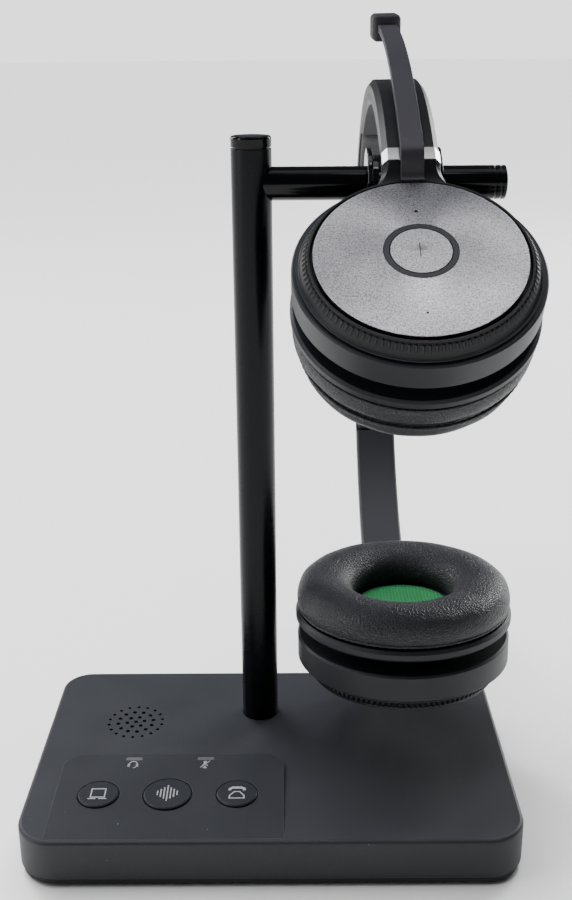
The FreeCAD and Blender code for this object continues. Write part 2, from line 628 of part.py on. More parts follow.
def cup_envelope():
    """Everything of the cup that the neck must sit on: grip ring and housing."""
    a0, a1, r = HOUSING_A0, HOUSING_A1, CUP_R
    return turned([
        (0.0, 0.9), (30.0, 0.9), (32.2, 4.1), (32.2, a0), (32.7, a0), (32.7, a0 + 0.4),
        (32.2, a0 + 0.5), (32.2, a0 + 0.9), (r - 0.4, a0 + 0.9), (r, a0 + 1.3), (r, a1), (0.0, a1),
    ])


def cushion(profile):
    """Soft ring with a flat foot on the ear plate, from (radius, height) points of its section."""
    points = [Vec(r, 0, a) for r, a in profile]
    curve = Part.BSplineCurve()
    curve.interpolate(points)
    foot = Part.LineSegment(points[-1], points[0])
    face = Part.Face(Part.Wire([curve.toShape(), foot.toShape()]))
    return face.revolve(Vec(0, 0, 0), Vec(0, 0, 1), 360)


def build_cup(cup, side, band_deg, strip_from, strip_to, cushion_profile):
    strip_deg = sorted((strip_from, strip_to))
    strip = band_sector(bar_section(STRIP_HALF, STRIP_RI, STRIP_RO), *strip_deg)
    strip = strip.cut(placed(disc(STRIP_CLEAR_R, 0.4, 20), cup))
    hang("slider_strip_" + side, strip)
    hang("cup_yoke_" + side, placed(yoke(cup, band_deg), cup).cut(strip))
    hang("cup_housing_" + side, placed(housing(), cup))
    hang("grip_ring_" + side, placed(knurled_ring(), cup))
    hang("gimbal_" + side, placed(gimbal(), cup))
    hang("ear_plate_" + side, placed(ear_plate(), cup))
    hang("driver_" + side, placed(driver(), cup))
    hang("ear_cushion_" + side, placed(cushion(cushion_profile), cup))
    hang("ear_fabric_" + side, placed(disc(DRIVER_R + 0.3, 21.8, 22.4), cup))


# ---------------------------------------------------------------- call button, boom, electronics
def strap_profile():
    """Side view of the boom strap in the (y, outward) plane, as a closed wire."""
    def on_arc(u, offset):
        r = BOOM_BEND + offset
        du = u - BOOM_APEX_U
        return u, BOOM_APEX_N - BOOM_BEND + math.sqrt(r * r - du * du)
    half = BOOM_T / 2
    u_start, u_mid = 37.2, (37.2 + BOOM_END_U) / 2
    outer_arc = [on_arc(u, half) for u in (u_start, u_mid, BOOM_END_U)]
    inner_arc = [on_arc(u, -half) for u in (BOOM_END_U, u_mid, u_start)]
    outer_root = [(28.55, 0.62), (29.5, 0.72), (31.0, 2.0), (33.2, 4.7), outer_arc[0]]
    inner_root = [inner_arc[2], (34.6, 3.72), (32.6, 2.15), (30.6, 0.35), (29.7, -0.06), (28.85, -0.12)]

    def p(point):
        return Vec(0, point[0], -point[1])

    def spline(points):
        curve = Part.BSplineCurve()
        curve.interpolate([p(q) for q in points])
        return curve.toShape()
    edges = [
        spline(outer_root),
        Part.Arc(*[p(q) for q in outer_arc]).toShape(),
        Part.LineSegment(p(outer_arc[2]), p(inner_arc[0])).toShape(),
        Part.Arc(*[p(q) for q in inner_arc]).toShape(),
        spline(inner_root),
        Part.LineSegment(p(inner_root[-1]), p(outer_root[0])).toShape(),
    ]
    return Part.Wire(Part.__sortEdges__(edges))


def boom_hub():
    """Turning ring under the disc, with the thin web that comes up through the rim gap."""
    body = ring(22.0, 27.9, 1.6, 2.8)
    web = ring(28.5, 28.85, -0.1, 2.8).fuse(ring(27.0, 28.85, 1.9, 2.8))
    return body.fuse(web.common(block(-BOOM_W_ROOT / 2, BOOM_W_ROOT / 2, 20, 30, -1, 4)))


def mic_frame():
    """Placement of the microphone head on the boom's end: Y along the boom, Z towards the ear."""
    du = MIC_U - BOOM_APEX_U
    angle = math.asin(du / BOOM_BEND)
    n = BOOM_APEX_N - BOOM_BEND + BOOM_BEND * math.cos(angle)
    return FreeCAD.Placement(Vec(0, MIC_U, -n), FreeCAD.Rotation(Vec(1, 0, 0), math.degrees(angle)))


def build_upper_extras(cup):
    plate = dome_plate(RING_RO + 0.15, DISC_R, 0.0, DISC_T)
    for x, y, r in DISC_HOLES:
        plate = plate.cut(disc(r, -5, 5, x, y))
    hang("disc_cover_upper", placed(plate, cup))
    hang("light_ring", placed(dome_plate(RING_RI, RING_RO, 0.1, 1.6), cup))
    cap = dome_cap(CALL_R, 0.12, 1.4)
    hang("call_button", placed(cap.fuse(disc(2.4, -1.0, 2.3)), cup))
    board = disc(27.5, 6.0, 7.0)
    hang("cup_circuit_board", placed(board, cup))
    switch = block(-2.8, 2.8, -2.8, 2.8, 3.6, 6.0).fuse(disc(1.5, 2.95, 3.6))
    hang("call_switch", placed(switch, cup))

    strap = Part.Face(strap_profile()).extrude(Vec(BOOM_W_ROOT, 0, 0))
    strap.translate(Vec(-BOOM_W_ROOT / 2, 0, 0))
    w0, w1 = BOOM_W_ROOT / 2, BOOM_W_TIP / 2
    plan = face_of([(-w0, 20, -40), (w0, 20, -40), (w1, 140, -40), (-w1, 140, -40)]).extrude(Vec(0, 0, 80))
    strap = strap.common(plan)
    head_shape = block(-MIC_W / 2, MIC_W / 2, -MIC_L / 2, MIC_L / 2, -MIC_T / 2 + 0.2, MIC_T / 2 + 0.2)
    head_shape = head_shape.makeFillet(MIC_ROUND, head_shape.Edges)
    capsule = disc(2.0, MIC_T / 2 - 2.2, MIC_T / 2 - 0.7)
    port = disc(0.8, 0, MIC_T)
    place = mic_frame()
    for shape in (head_shape, capsule, port):
        shape.Placement = place.multiply(shape.Placement)
    hang("boom_strap", placed(strap.cut(head_shape), cup))
    hang("boom_hub", placed(boom_hub(), cup))
    hang("mic_head", placed(head_shape.cut(capsule).cut(port), cup))
    hang("mic_capsule", placed(capsule.cut(port), cup))


def dome_cap(r_out, lift, thickness):
    """Full domed cap."""
    top = [Vec(r, 0, dome_height(r) + lift) for r in (0, r_out / 2, r_out)]
    edges = [
        Part.Arc(*top).toShape(),
        Part.LineSegment(top[2], Vec(r_out, 0, dome_height(0) + lift + thickness)).toShape(),
        Part.LineSegment(Vec(r_out, 0, dome_height(0) + lift + thickness),
                         Vec(0, 0, dome_height(0) + lift + thickness)).toShape(),
        Part.LineSegment(Vec(0, 0, dome_height(0) + lift + thickness), top[0]).toShape(),
    ]
    return Part.Face(Part.Wire(edges)).revolve(Vec(0, 0, 0), Vec(0, 0, 1), 360)


def build_lower_extras(cup):
    hang("disc_cover_lower", placed(dome_plate(0.0, DISC_R, 0.0, DISC_T), cup))
    battery = block(-15, 15, -10, 10, 6.2, 11.4)
    hang("battery", placed(battery.makeFillet(1.2, battery.Edges), cup))


def main():
    build_base()
    build_stand()
    build_headband()
    top = BAND_END_DEG + COLLAR_DEG + 0.05
    low = mirrored_deg(top)
    build_cup(CUP_UPPER, "upper", top, top + 1.0, top - STRIP_DEG, CUSHION_UPPER)
    build_cup(CUP_LOWER, "lower", low, low - 1.0, low + STRIP_DEG, CUSHION_LOWER)
    build_upper_extras(CUP_UPPER)
    build_lower_extras(CUP_LOWER)


main()
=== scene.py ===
import json
import math

import bpy
from mathutils import Matrix, Vector, noise


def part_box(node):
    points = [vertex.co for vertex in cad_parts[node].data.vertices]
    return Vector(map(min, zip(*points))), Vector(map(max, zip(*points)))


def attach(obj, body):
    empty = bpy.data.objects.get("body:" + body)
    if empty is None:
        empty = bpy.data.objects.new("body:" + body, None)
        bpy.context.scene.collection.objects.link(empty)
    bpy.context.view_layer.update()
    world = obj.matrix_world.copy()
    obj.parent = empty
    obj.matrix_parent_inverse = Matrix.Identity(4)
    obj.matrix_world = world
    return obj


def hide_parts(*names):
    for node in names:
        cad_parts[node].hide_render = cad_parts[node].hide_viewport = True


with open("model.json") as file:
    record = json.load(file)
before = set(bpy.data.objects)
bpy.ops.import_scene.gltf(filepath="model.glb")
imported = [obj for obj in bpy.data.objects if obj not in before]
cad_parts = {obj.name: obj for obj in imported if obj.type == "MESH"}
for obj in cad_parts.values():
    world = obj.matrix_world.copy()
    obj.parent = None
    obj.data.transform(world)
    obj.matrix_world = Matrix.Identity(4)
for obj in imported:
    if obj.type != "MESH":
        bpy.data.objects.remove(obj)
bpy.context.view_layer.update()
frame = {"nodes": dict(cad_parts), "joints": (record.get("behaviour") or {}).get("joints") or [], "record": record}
MM = 0.001
JOINTS = {joint["name"]: joint for joint in frame["joints"]}
SLOT_OF = {part["node"]: part["material_slot"] for part in frame["record"]["subparts"]}

# ---------------------------------------------------------------- where things are
PIVOT_A = 15.0    # a cup's pad pivot lies this far behind the rim plane of its disc, in millimetres


def cup_matrix(side):
    """A cup's own frame in metres: origin at the disc's rim plane, Z to the ear, Y to the headband."""
    sign = 1 if side == "lower" else -1
    across = Vector(JOINTS[side + "_pad_tilt"]["axis"]) * sign
    up = Vector(JOINTS[side + "_pad_turn"]["axis"])
    ear = across.cross(up)
    origin = Vector(JOINTS[side + "_pad_tilt"]["pos_m"]) - ear * PIVOT_A * MM
    rotation = Matrix((across, up, ear)).transposed()
    return Matrix.Translation(origin) @ rotation.to_4x4()


CUPS = {side: cup_matrix(side) for side in ("upper", "lower")}


# ---------------------------------------------------------------- mesh helpers
def mesh_piece(name, points, faces, matrix):
    """A smooth-shaded mesh object from points in millimetres, placed by a matrix in metres."""
    mesh = bpy.data.meshes.new(name)
    mesh.from_pydata([Vector(p) * MM for p in points], [], faces)
    mesh.update()
    for face in mesh.polygons:
        face.use_smooth = True
    piece = bpy.data.objects.new(name, mesh)
    bpy.context.scene.collection.objects.link(piece)
    piece.matrix_world = matrix
    return piece


def sharpen(piece, degrees):
    """Marks the edges that are sharper than this as hard in the shading."""
    piece.data.set_sharp_from_angle(angle=math.radians(degrees))


def revolved(name, rings, matrix, wrap=False, close_ends=False):
    """Mesh from rings of points; each ring is a closed loop, and wrap joins the last to the first."""
    count = len(rings[0])
    points = [p for ring in rings for p in ring]
    faces = []
    last = len(rings) if wrap else len(rings) - 1
    for i in range(last):
        a, b = i * count, ((i + 1) % len(rings)) * count
        for j in range(count):
            k = (j + 1) % count
            faces.append((a + j, a + k, b + k, b + j))
    if close_ends:
        faces.append(tuple(reversed(range(count))))
        faces.append(tuple(range((len(rings) - 1) * count, len(rings) * count)))
    return mesh_piece(name, points, faces, matrix)


def circle(radius, height, count):
    """One ring of points about Z."""
    turn = 2 * math.pi / count
    return [(radius * math.cos(turn * j), radius * math.sin(turn * j), height) for j in range(count)]


def smooth_loop(controls, count):
    """Closed Catmull-Rom curve through (r, a) control points, sampled evenly in parameter."""
    out = []
    n = len(controls)
    for s in range(count):
        t = s * n / count
        i = int(t)
        f = t - i
        p = [controls[(i + d - 1) % n] for d in range(4)]
        out.append(tuple(
            0.5 * (2 * p[1][c] + (p[2][c] - p[0][c]) * f
                   + (2 * p[0][c] - 5 * p[1][c] + 4 * p[2][c] - p[3][c]) * f * f
                   + (3 * p[1][c] - p[0][c] - 3 * p[2][c] + p[3][c]) * f ** 3)
            for c in (0, 1)))
    return out


# ---------------------------------------------------------------- material helpers
SPECK_GAP_MM = 2.6
SPECK_COLOUR = (0.35, 0.35, 0.36)


class Finish:
    """A procedural material that is built up layer by layer."""

    def __init__(self, name, colour, rough, metal=0.0, specular=0.5):
        self.material = bpy.data.materials.new(name)
        self.material.use_nodes = True
        self.tree = self.material.node_tree
        self.shader = self.tree.nodes["Principled BSDF"]
        self.shader.inputs["Metallic"].default_value = metal
        self.shader.inputs["Specular IOR Level"].default_value = specular
        self.place = self.node("ShaderNodeTexCoord").outputs["Object"]
        self.colour = self.node("ShaderNodeRGB").outputs[0]
        self.colour.default_value = (*colour, 1)
        self.rough = self.node("ShaderNodeValue").outputs[0]
        self.rough.default_value = rough
        self.normal = None

    def node(self, kind, inputs=None, **settings):
        made = self.tree.nodes.new(kind)
        for key, value in settings.items():
            setattr(made, key, value)
        for key, value in (inputs or {}).items():
            if isinstance(value, bpy.types.NodeSocket):
                self.tree.links.new(value, made.inputs[key])
            else:
                made.inputs[key].default_value = value
        return made

    def math(self, operation, a, b=0.0, clamp=False):
        return self.node("ShaderNodeMath", {0: a, 1: b}, operation=operation, use_clamp=clamp).outputs[0]

    def noise(self, size_mm, detail=3.0, stretch=None):
        """Noise whose features are about size_mm across; stretch scales the three axes."""
        place = self.place
        if stretch:
            place = self.node("ShaderNodeMapping", {"Vector": place, "Scale": stretch}).outputs[0]
        return self.node("ShaderNodeTexNoise", {"Vector": place, "Scale": 1 / (size_mm * MM),
                                                "Detail": detail}).outputs[0]

    def remap(self, value, low, high, to_low=0.0, to_high=1.0):
        return self.node("ShaderNodeMapRange", {"Value": value, "From Min": low, "From Max": high,
                                                "To Min": to_low, "To Max": to_high}).outputs[0]

    def tint(self, factor, colour, blend="MIX"):
        """Mixes another colour into the base colour by a factor."""
        mix = self.node("ShaderNodeMix", {0: factor, 6: self.colour}, data_type="RGBA", blend_type=blend)
        if isinstance(colour, bpy.types.NodeSocket):
            self.tree.links.new(colour, mix.inputs[7])
        else:
            mix.inputs[7].default_value = (*colour, 1)
        self.colour = mix.outputs[2]

    def scale_rough(self, factor, low, high):
        """Multiplies roughness by low where the factor is 0 and by high where it is 1."""
        self.rough = self.math("MULTIPLY", self.rough, self.remap(factor, 0, 1, low, high))

    def bump(self, height, depth_mm):
        """Adds relief of the given depth for a height that runs from 0 to 1."""
        links = {"Height": height, "Distance": depth_mm * MM, "Strength": 1.0}
        if self.normal is not None:
            links["Normal"] = self.normal
        self.normal = self.node("ShaderNodeBump", links).outputs[0]

    def soft_edges(self, radius_mm, wear=0.0, wear_colour=(0.2, 0.2, 0.2)):
        """Rounds the look of hard edges, and rubs them a little brighter and smoother."""
        bevel = self.node("ShaderNodeBevel", {"Radius": radius_mm * MM}, samples=6).outputs[0]
        self.normal = bevel
        if wear:
            true_normal = self.node("ShaderNodeNewGeometry").outputs["Normal"]
            turn = self.node("ShaderNodeVectorMath", {0: bevel, 1: true_normal}, operation="DOT_PRODUCT")
            patchy = self.remap(self.noise(4.0), 0.35, 0.65, 0.3, 1.0)
            edge = self.remap(turn.outputs["Value"], 0.98, 0.75, 0.0, wear)
            worn = self.math("MULTIPLY", edge, patchy, clamp=True)
            self.tint(worn, wear_colour)
            self.scale_rough(worn, 1.0, 0.75)

    def moulded(self, size_mm, depth_mm, spread=0.08):
        """Spark-eroded plastic skin: fine relief, with colour and gloss that vary a little."""
        grain = self.noise(size_mm, 2.0)
        self.bump(grain, depth_mm)
        patches = self.noise(18.0, 4.0)
        self.tint(self.remap(patches, 0.35, 0.65, 0, spread), (1, 1, 1), "SOFT_LIGHT")
        self.tint(self.remap(grain, 0.35, 0.65, 0, spread * 2), (0, 0, 0), "SOFT_LIGHT")
        self.scale_rough(self.remap(patches, 0.3, 0.7), 0.92, 1.08)

    def dust(self, amount):
        """Sparse pale specks."""
        cells = self.node("ShaderNodeTexVoronoi", {"Vector": self.place, "Scale": 1 / (SPECK_GAP_MM * MM),
                                                   "Randomness": 1.0})
        near = self.remap(cells.outputs["Distance"], 0.05, 0.03)
        some = self.remap(cells.outputs["Color"], 0.80, 0.82)
        speck = self.math("MULTIPLY", near, some, clamp=True)
        self.tint(self.math("MULTIPLY", speck, amount), SPECK_COLOUR)

    def set(self, **values):
        """Constant values straight on the shader's own sockets."""
        for key, value in values.items():
            self.shader.inputs[key.replace("_", " ")].default_value = value

    def done(self):
        links = self.tree.links
        links.new(self.colour, self.shader.inputs["Base Color"])
        links.new(self.rough, self.shader.inputs["Roughness"])
        if self.normal is not None:
            links.new(self.normal, self.shader.inputs["Normal"])
        return self.material


def hard_plastic(name, colour, rough, grain_mm, depth_mm, edge_mm=0.25, wear=0.25, specks=0.0,
                 specular=0.3):
    """Moulded plastic, rubber or print, with a grain, worn edges and some specks."""
    finish = Finish(name, colour, rough, specular=specular)
    finish.soft_edges(edge_mm, wear, tuple(min(1.0, c * 3.0 + 0.02) for c in colour))
    finish.moulded(grain_mm, depth_mm)
    if specks:
        finish.dust(specks)
    return finish.done()


def polished(name, colour, rough, metal=0.0, edge_mm=0.2, scratch=0.02, specular=0.18):
    """Gloss or metal surface with hairlines and a faint waviness."""
    finish = Finish(name, colour, rough, metal, 0.5 if metal else specular)
    finish.soft_edges(edge_mm, 0.15, tuple(min(1.0, c * 1.5 + 0.02) for c in colour))
    finish.bump(finish.noise(9.0, 2.0), scratch)
    hairs = finish.noise(0.5, 2.0, (1.0, 12.0, 12.0))
    finish.scale_rough(finish.remap(hairs, 0.4, 0.75), 0.9, 1.35)
    smears = finish.noise(14.0, 4.0)
    finish.scale_rough(finish.remap(smears, 0.4, 0.7), 0.85, 1.3)
    return finish.done()


def spun_silver(name, side, stretch):
    """Bead-blasted aluminium; with a stretch above 0, rings about the cup's axis draw light into wedges."""
    finish = Finish(name, (0.56, 0.55, 0.59), 0.36 if stretch else 0.42, 1.0)
    if stretch:
        finish.soft_edges(0.2)
        centre, axis = CUPS[side].translation, CUPS[side].col[2].to_3d()
        offset = finish.node("ShaderNodeVectorMath", {0: finish.place, 1: tuple(centre)},
                             operation="SUBTRACT").outputs[0]
        around = finish.node("ShaderNodeVectorMath", {0: tuple(axis), 1: offset},
                             operation="CROSS_PRODUCT").outputs[0]
        radius = finish.node("ShaderNodeVectorMath", {0: around}, operation="LENGTH").outputs["Value"]
        rings = finish.node("ShaderNodeTexNoise", {"W": radius, "Scale": 1 / (0.22 * MM), "Detail": 3.0},
                            noise_dimensions="1D").outputs[0]
        finish.bump(rings, 0.004)
        tangent = finish.node("ShaderNodeVectorTransform", {0: around}, vector_type="VECTOR",
                              convert_from="OBJECT", convert_to="WORLD").outputs[0]
        finish.set(Anisotropic=stretch)
        finish.tree.links.new(tangent, finish.shader.inputs["Tangent"])
    blast = finish.noise(0.30, 1.0)
    finish.bump(blast, 0.022)
    finish.tint(finish.remap(blast, 0.50, 0.62, 0.0, 0.75), (0.88, 0.87, 0.92))
    finish.tint(finish.remap(finish.noise(0.38, 0.0), 0.52, 0.66, 0.0, 0.75), (0.26, 0.25, 0.29))
    finish.scale_rough(finish.remap(finish.noise(12.0, 4.0), 0.35, 0.65), 0.94, 1.08)
    return finish.done()


def leather(name, colour, rough, pebble_mm=0.95, depth_mm=0.11):
    """Protein leather: soft pebbles with fine creases between them, a rougher skin in the creases, and painted
    shade that darkens the creases.
    """
    finish = Finish(name, colour, rough, specular=0.4)
    bend = finish.node("ShaderNodeTexNoise", {"Vector": finish.place, "Scale": 1 / (1.7 * MM),
                                              "Detail": 2.0}).outputs["Color"]
    offset = finish.node("ShaderNodeVectorMath", {0: bend, "Scale": 0.9 * MM}, operation="SCALE").outputs[0]
    bent = finish.node("ShaderNodeVectorMath", {0: finish.place, 1: offset}, operation="ADD").outputs[0]
    cells = finish.node("ShaderNodeTexVoronoi", {"Vector": bent, "Scale": 1 / (pebble_mm * MM)},
                        feature="DISTANCE_TO_EDGE").outputs["Distance"]
    crease = finish.remap(cells, 0.0, 0.22)
    finish.bump(finish.noise(6.0, 3.0), 0.14)
    finish.bump(crease, depth_mm)
    finish.bump(finish.noise(0.30, 2.0), 0.025)
    # painted shade: the creases between the pebbles are darkened
    finish.tint(finish.remap(crease, 0.0, 0.7, 0.65, 0.0), tuple(c * 0.3 for c in colour))
    finish.tint(finish.remap(finish.noise(15.0, 3.0), 0.4, 0.65, 0.0, 0.35), tuple(c * 1.6 for c in colour))
    finish.scale_rough(crease, 1.35, 0.85)
    finish.set(Sheen_Weight=0.03, Sheen_Roughness=0.5)
    return finish.done()


def mesh_cloth(name, colour, rib_mm=0.55):
    """Thin knitted cover over foam: two crossed sets of ribs, each rib half a wave, with painted shade darkening
    the gaps between them.
    """
    finish = Finish(name, colour, 0.85, specular=0.12)
    scale = 1 / (rib_mm * MM * 20) * 3.14
    ribs = []
    for axis in ("X", "Y"):
        ribs.append(finish.node("ShaderNodeTexWave", {"Vector": finish.place, "Scale": scale,
                                                      "Distortion": 0.6, "Detail": 1.0},
                                bands_direction=axis).outputs["Fac"])
    weave = finish.math("MAXIMUM", ribs[0], ribs[1])
    finish.bump(weave, 0.09)
    # painted shade: the gaps between the ribs are darkened
    finish.tint(finish.remap(weave, 0.2, 0.85, 0.7, 0.0), tuple(c * 0.25 for c in colour))
    finish.tint(finish.remap(finish.noise(5.0, 3.0), 0.35, 0.65, 0.0, 0.3), tuple(c * 0.6 for c in colour))
    finish.set(Sheen_Weight=0.04, Sheen_Roughness=0.6)
    return finish.done()


def circuit(name, colour):
    """Lacquered board: dull copper traces under a green or dark lacquer."""
    finish = Finish(name, colour, 0.35)
    finish.soft_edges(0.1)
    traces = finish.node("ShaderNodeTexBrick", {"Vector": finish.place, "Scale": 60.0}).outputs["Fac"]
    finish.bump(traces, 0.02)
    finish.tint(finish.math("MULTIPLY", traces, 0.3), (0.12, 0.16, 0.05))
    finish.scale_rough(finish.noise(8.0), 0.85, 1.2)
    return finish.done()


# ---------------------------------------------------------------- finishes by the record's slots
# colour, roughness, grain size and depth in mm, then edge radius, edge wear, specks and specular level
HARD_PLASTICS = {
    "cover_plastic": ((0.0118, 0.0126, 0.0152), 0.50, 0.42, 0.030, 0.3, 0.6, 0.6),
    "panel_plastic": ((0.0100, 0.0107, 0.0130), 0.48, 0.42, 0.030, 0.25, 0.6, 0.5),
    "under_plastic": ((0.0035, 0.0038, 0.0046), 0.6, 0.5, 0.03, 0.3, 0.2),
    "pad_rubber": ((0.0030, 0.0030, 0.0034), 0.85, 0.7, 0.05, 0.3, 0.1),
    "button_plastic": ((0.0084, 0.0092, 0.0112), 0.45, 0.4, 0.020, 0.2, 0.9),
    "light_window": ((0.0400, 0.0410, 0.0430), 0.35, 0.3, 0.01, 0.2, 0.1),
    "black_part": ((0.0030, 0.0030, 0.0034), 0.5, 0.5, 0.02, 0.2, 0.15),
    "pole_paint": ((0.0010, 0.0015, 0.0026), 0.27, 0.55, 0.012, 0.3, 0.1, 0.3, 0.14),
    "band_plastic": ((0.0032, 0.0034, 0.0044), 0.40, 0.35, 0.018, 0.35, 0.7, 0.3),
    "band_liner": ((0.0135, 0.0135, 0.0165), 0.45, 0.4, 0.02, 0.3, 0.4),
    "cup_plastic": ((0.0044, 0.0056, 0.0080), 0.46, 0.4, 0.02, 0.3, 0.7, 0.4),
    "yoke_plastic": ((0.0028, 0.0030, 0.0040), 0.40, 0.35, 0.018, 0.3, 0.6, 0.3),
    "grip_plastic": ((0.0016, 0.0020, 0.0030), 0.45, 0.3, 0.015, 0.12, 0.9),
    "boom_plastic": ((0.0140, 0.0132, 0.0172), 0.46, 0.4, 0.02, 0.45, 0.8, 0.3),
}
# colour and roughness, then metal share and edge radius in mm
POLISHED = {
    "steel": ((0.55, 0.55, 0.56), 0.28, 1.0),
    "port_metal": ((0.62, 0.61, 0.60), 0.25, 1.0),
    "gloss_black": ((0.0007, 0.0009, 0.0014), 0.12),
    "brass": ((0.80, 0.58, 0.28), 0.25, 1.0),
    "silver": ((0.5200, 0.5200, 0.5400), 0.24, 1.0, 0.25),
    "ring_gloss": ((0.0130, 0.0135, 0.0155), 0.22),
    "speaker_part": ((0.25, 0.25, 0.26), 0.4, 0.7),
    "battery_wrap": ((0.05, 0.07, 0.16), 0.4),
}
FINISHES = {name: hard_plastic(name, *values) for name, values in HARD_PLASTICS.items()}
FINISHES.update({name: polished(name, *values) for name, values in POLISHED.items()})
FINISHES.update({
    "saddle_plastic": polished("saddle_plastic", (0.0006, 0.0007, 0.0010), 0.08, specular=0.5),
    "board": circuit("board", (0.010, 0.045, 0.020)),
    "band_leather": leather("band_leather", (0.0046, 0.0050, 0.0070), 0.5),
    "cushion_leather": leather("cushion_leather", (0.0042, 0.0048, 0.0068), 0.44),
    "ear_fabric": mesh_cloth("ear_fabric", (0.0060, 0.0760, 0.0240)),
})
DISC_STRETCH = 0.84
DISC_FINISH = {
    "upper": spun_silver("disc_silver_upper", "upper", DISC_STRETCH),
    "lower": spun_silver("disc_silver_lower", "lower", DISC_STRETCH),
    "button": spun_silver("button_silver", "upper", 0.0),
}


def paint(thing, slot):
    """Gives a piece or CAD node the finish of one slot; the silver differs from part to part."""
    if slot == "disc_silver":
        kind = "button" if "button" in thing.name else "lower" if "lower" in thing.name else "upper"
        material = DISC_FINISH[kind]
    else:
        material = FINISHES[slot]
    thing.data.materials.clear()
    thing.data.materials.append(material)


def dress(piece, slot, body, *replaced):
    """Finish, slot name, body and replaced CAD nodes of a new piece, in one step."""
    paint(piece, slot)
    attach(piece, body)
    if replaced:
        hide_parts(*replaced)
    return piece


for node_name, node_object in frame["nodes"].items():
    paint(node_object, SLOT_OF[node_name])


# ---------------------------------------------------------------- soft pieces
SIM_SCALE = 10.0      # the simulation runs on a mesh this much larger, where its defaults are stable
SIM_FRAMES = 16
SIM_PRESSURE = 2.5
SWELL_MM = 0.6        # no point moves further than this


def inflate(piece, pinned):
    rest = [vertex.co.copy() for vertex in piece.data.vertices]
    for vertex in piece.data.vertices:
        vertex.co = vertex.co * SIM_SCALE
    seam = piece.vertex_groups.new(name="seam")
    seam.add(pinned, 1.0, "REPLACE")
    modifier = piece.modifiers.new("swell", "CLOTH")
    cloth = modifier.settings
    cloth.quality = 6
    cloth.mass = 0.15
    cloth.effector_weights.gravity = 0.0
    cloth.use_pressure = True
    cloth.uniform_pressure_force = SIM_PRESSURE
    cloth.vertex_group_mass = "seam"
    modifier.point_cache.frame_start = 1
    modifier.point_cache.frame_end = SIM_FRAMES
    for number in range(1, SIM_FRAMES + 1):
        bpy.context.scene.frame_set(number)
    shaped = piece.evaluated_get(bpy.context.evaluated_depsgraph_get()).data.vertices
    swollen = [vertex.co / SIM_SCALE for vertex in shaped]
    piece.modifiers.remove(modifier)
    piece.vertex_groups.remove(seam)
    most = SWELL_MM * MM
    for vertex, start, end in zip(piece.data.vertices, rest, swollen):
        step = end - start
        if step.length > most:
            step *= most / step.length
        vertex.co = start + step
    bpy.context.scene.frame_set(1)


def shift_along_normals(piece, amount):
    """Moves every point of a mesh along its own normal by amount(index, point), in millimetres."""
    piece.data.update()
    normals = [vertex.normal.copy() for vertex in piece.data.vertices]
    for vertex, normal in zip(piece.data.vertices, normals):
        vertex.co = vertex.co + normal * amount(vertex.index, vertex.co / MM) * MM


# ---------------------------------------------------------------- ear cushions
FOOT_A = 22.05        # height of a cushion's flat foot above its cup's disc, in millimetres
CUSHIONS = {          # section of each cushion as (radius, height) control points in millimetres
    "lower": ((32.2, FOOT_A), (34.1, 24.0), (34.2, 27.4), (32.6, 31.0), (29.0, 33.0), (24.4, 33.3),
              (19.6, 32.2), (16.4, 29.2), (15.5, 25.4), (16.8, FOOT_A), (21.0, FOOT_A), (28.0, FOOT_A)),
    "upper": ((32.2, FOOT_A), (34.1, 24.2), (34.2, 28.2), (32.5, 30.4), (32.1, 32.8), (32.3, 35.3),
              (31.1, 37.9), (28.4, 39.4), (24.4, 39.7), (20.0, 38.3), (16.8, 34.6), (15.5, 29.0),
              (15.6, 25.0), (16.8, FOOT_A), (21.0, FOOT_A), (28.0, FOOT_A)),
}
SEWN = {"lower": (0,), "upper": (0, 3)}     # which of those points are seams
AROUND = 168          # points around a cushion
PER_CONTROL = 4       # points of the section for each control point
SKIN_INSET = 0.35     # the skin starts this far in, and swells out to the section
FOOT_BAND = 0.3       # points this close to the foot are glued down
CREASE_MM, PUCKER_MM, LUMP_MM = 0.75, 0.15, 0.20
CREASE_ROWS, PUCKER_ROWS = 1.1, 3.0         # how far from a seam each reaches, in rows of points
FOLDS_AROUND, LUMP_SCALE = 14.0, 0.11       # how fine the puckers and the lumps are
WELTS = {"lower": ((33.3, 23.3),), "upper": ((33.4, 23.4), (32.4, 32.2))}
WELT_MM = 0.5         # radius of the piping along a seam
STITCHES = 90         # stitches around a welt
STITCH_DIP, WELT_UNEVEN = 0.14, 0.08        # shares of the piping's radius


def ear_cushion(side):
    """Foam ring in a leather skin, drawn in at its seams and puckered next to them."""
    controls = CUSHIONS[side]
    along = PER_CONTROL * len(controls)
    section = smooth_loop(controls, along)
    seams = {PER_CONTROL * control for control in SEWN[side]}
    piece = revolved("cushion_" + side, [circle(r, a, AROUND) for r, a in section], CUPS[side], wrap=True)
    sewn_or_flat = []
    for i, (r, a) in enumerate(section):
        if i in seams or a < FOOT_A + FOOT_BAND:
            sewn_or_flat += range(i * AROUND, (i + 1) * AROUND)
    pinned = set(sewn_or_flat)
    shift_along_normals(piece, lambda index, _point: 0.0 if index in pinned else -SKIN_INSET)
    inflate(piece, sewn_or_flat)

    def relief(index, point):
        ring = index // AROUND
        from_seam = min(min(abs(ring - seam), along - abs(ring - seam)) for seam in seams)
        angle = math.atan2(point.y, point.x)
        place = Vector((math.cos(angle), math.sin(angle), 0))
        folds = noise.noise(place * FOLDS_AROUND + Vector((0, 0, ring * 0.08)))
        lumps = noise.noise(point * LUMP_SCALE)
        crease = CREASE_MM * math.exp(-(from_seam / CREASE_ROWS) ** 2)
        return folds * PUCKER_MM * math.exp(-from_seam / PUCKER_ROWS) + lumps * LUMP_MM - crease

    shift_along_normals(piece, relief)
    smooth = piece.modifiers.new("smooth", "SUBSURF")
    smooth.levels = smooth.render_levels = 1
    dress(piece, "cushion_leather", side + "_pad", "ear_cushion_" + side)


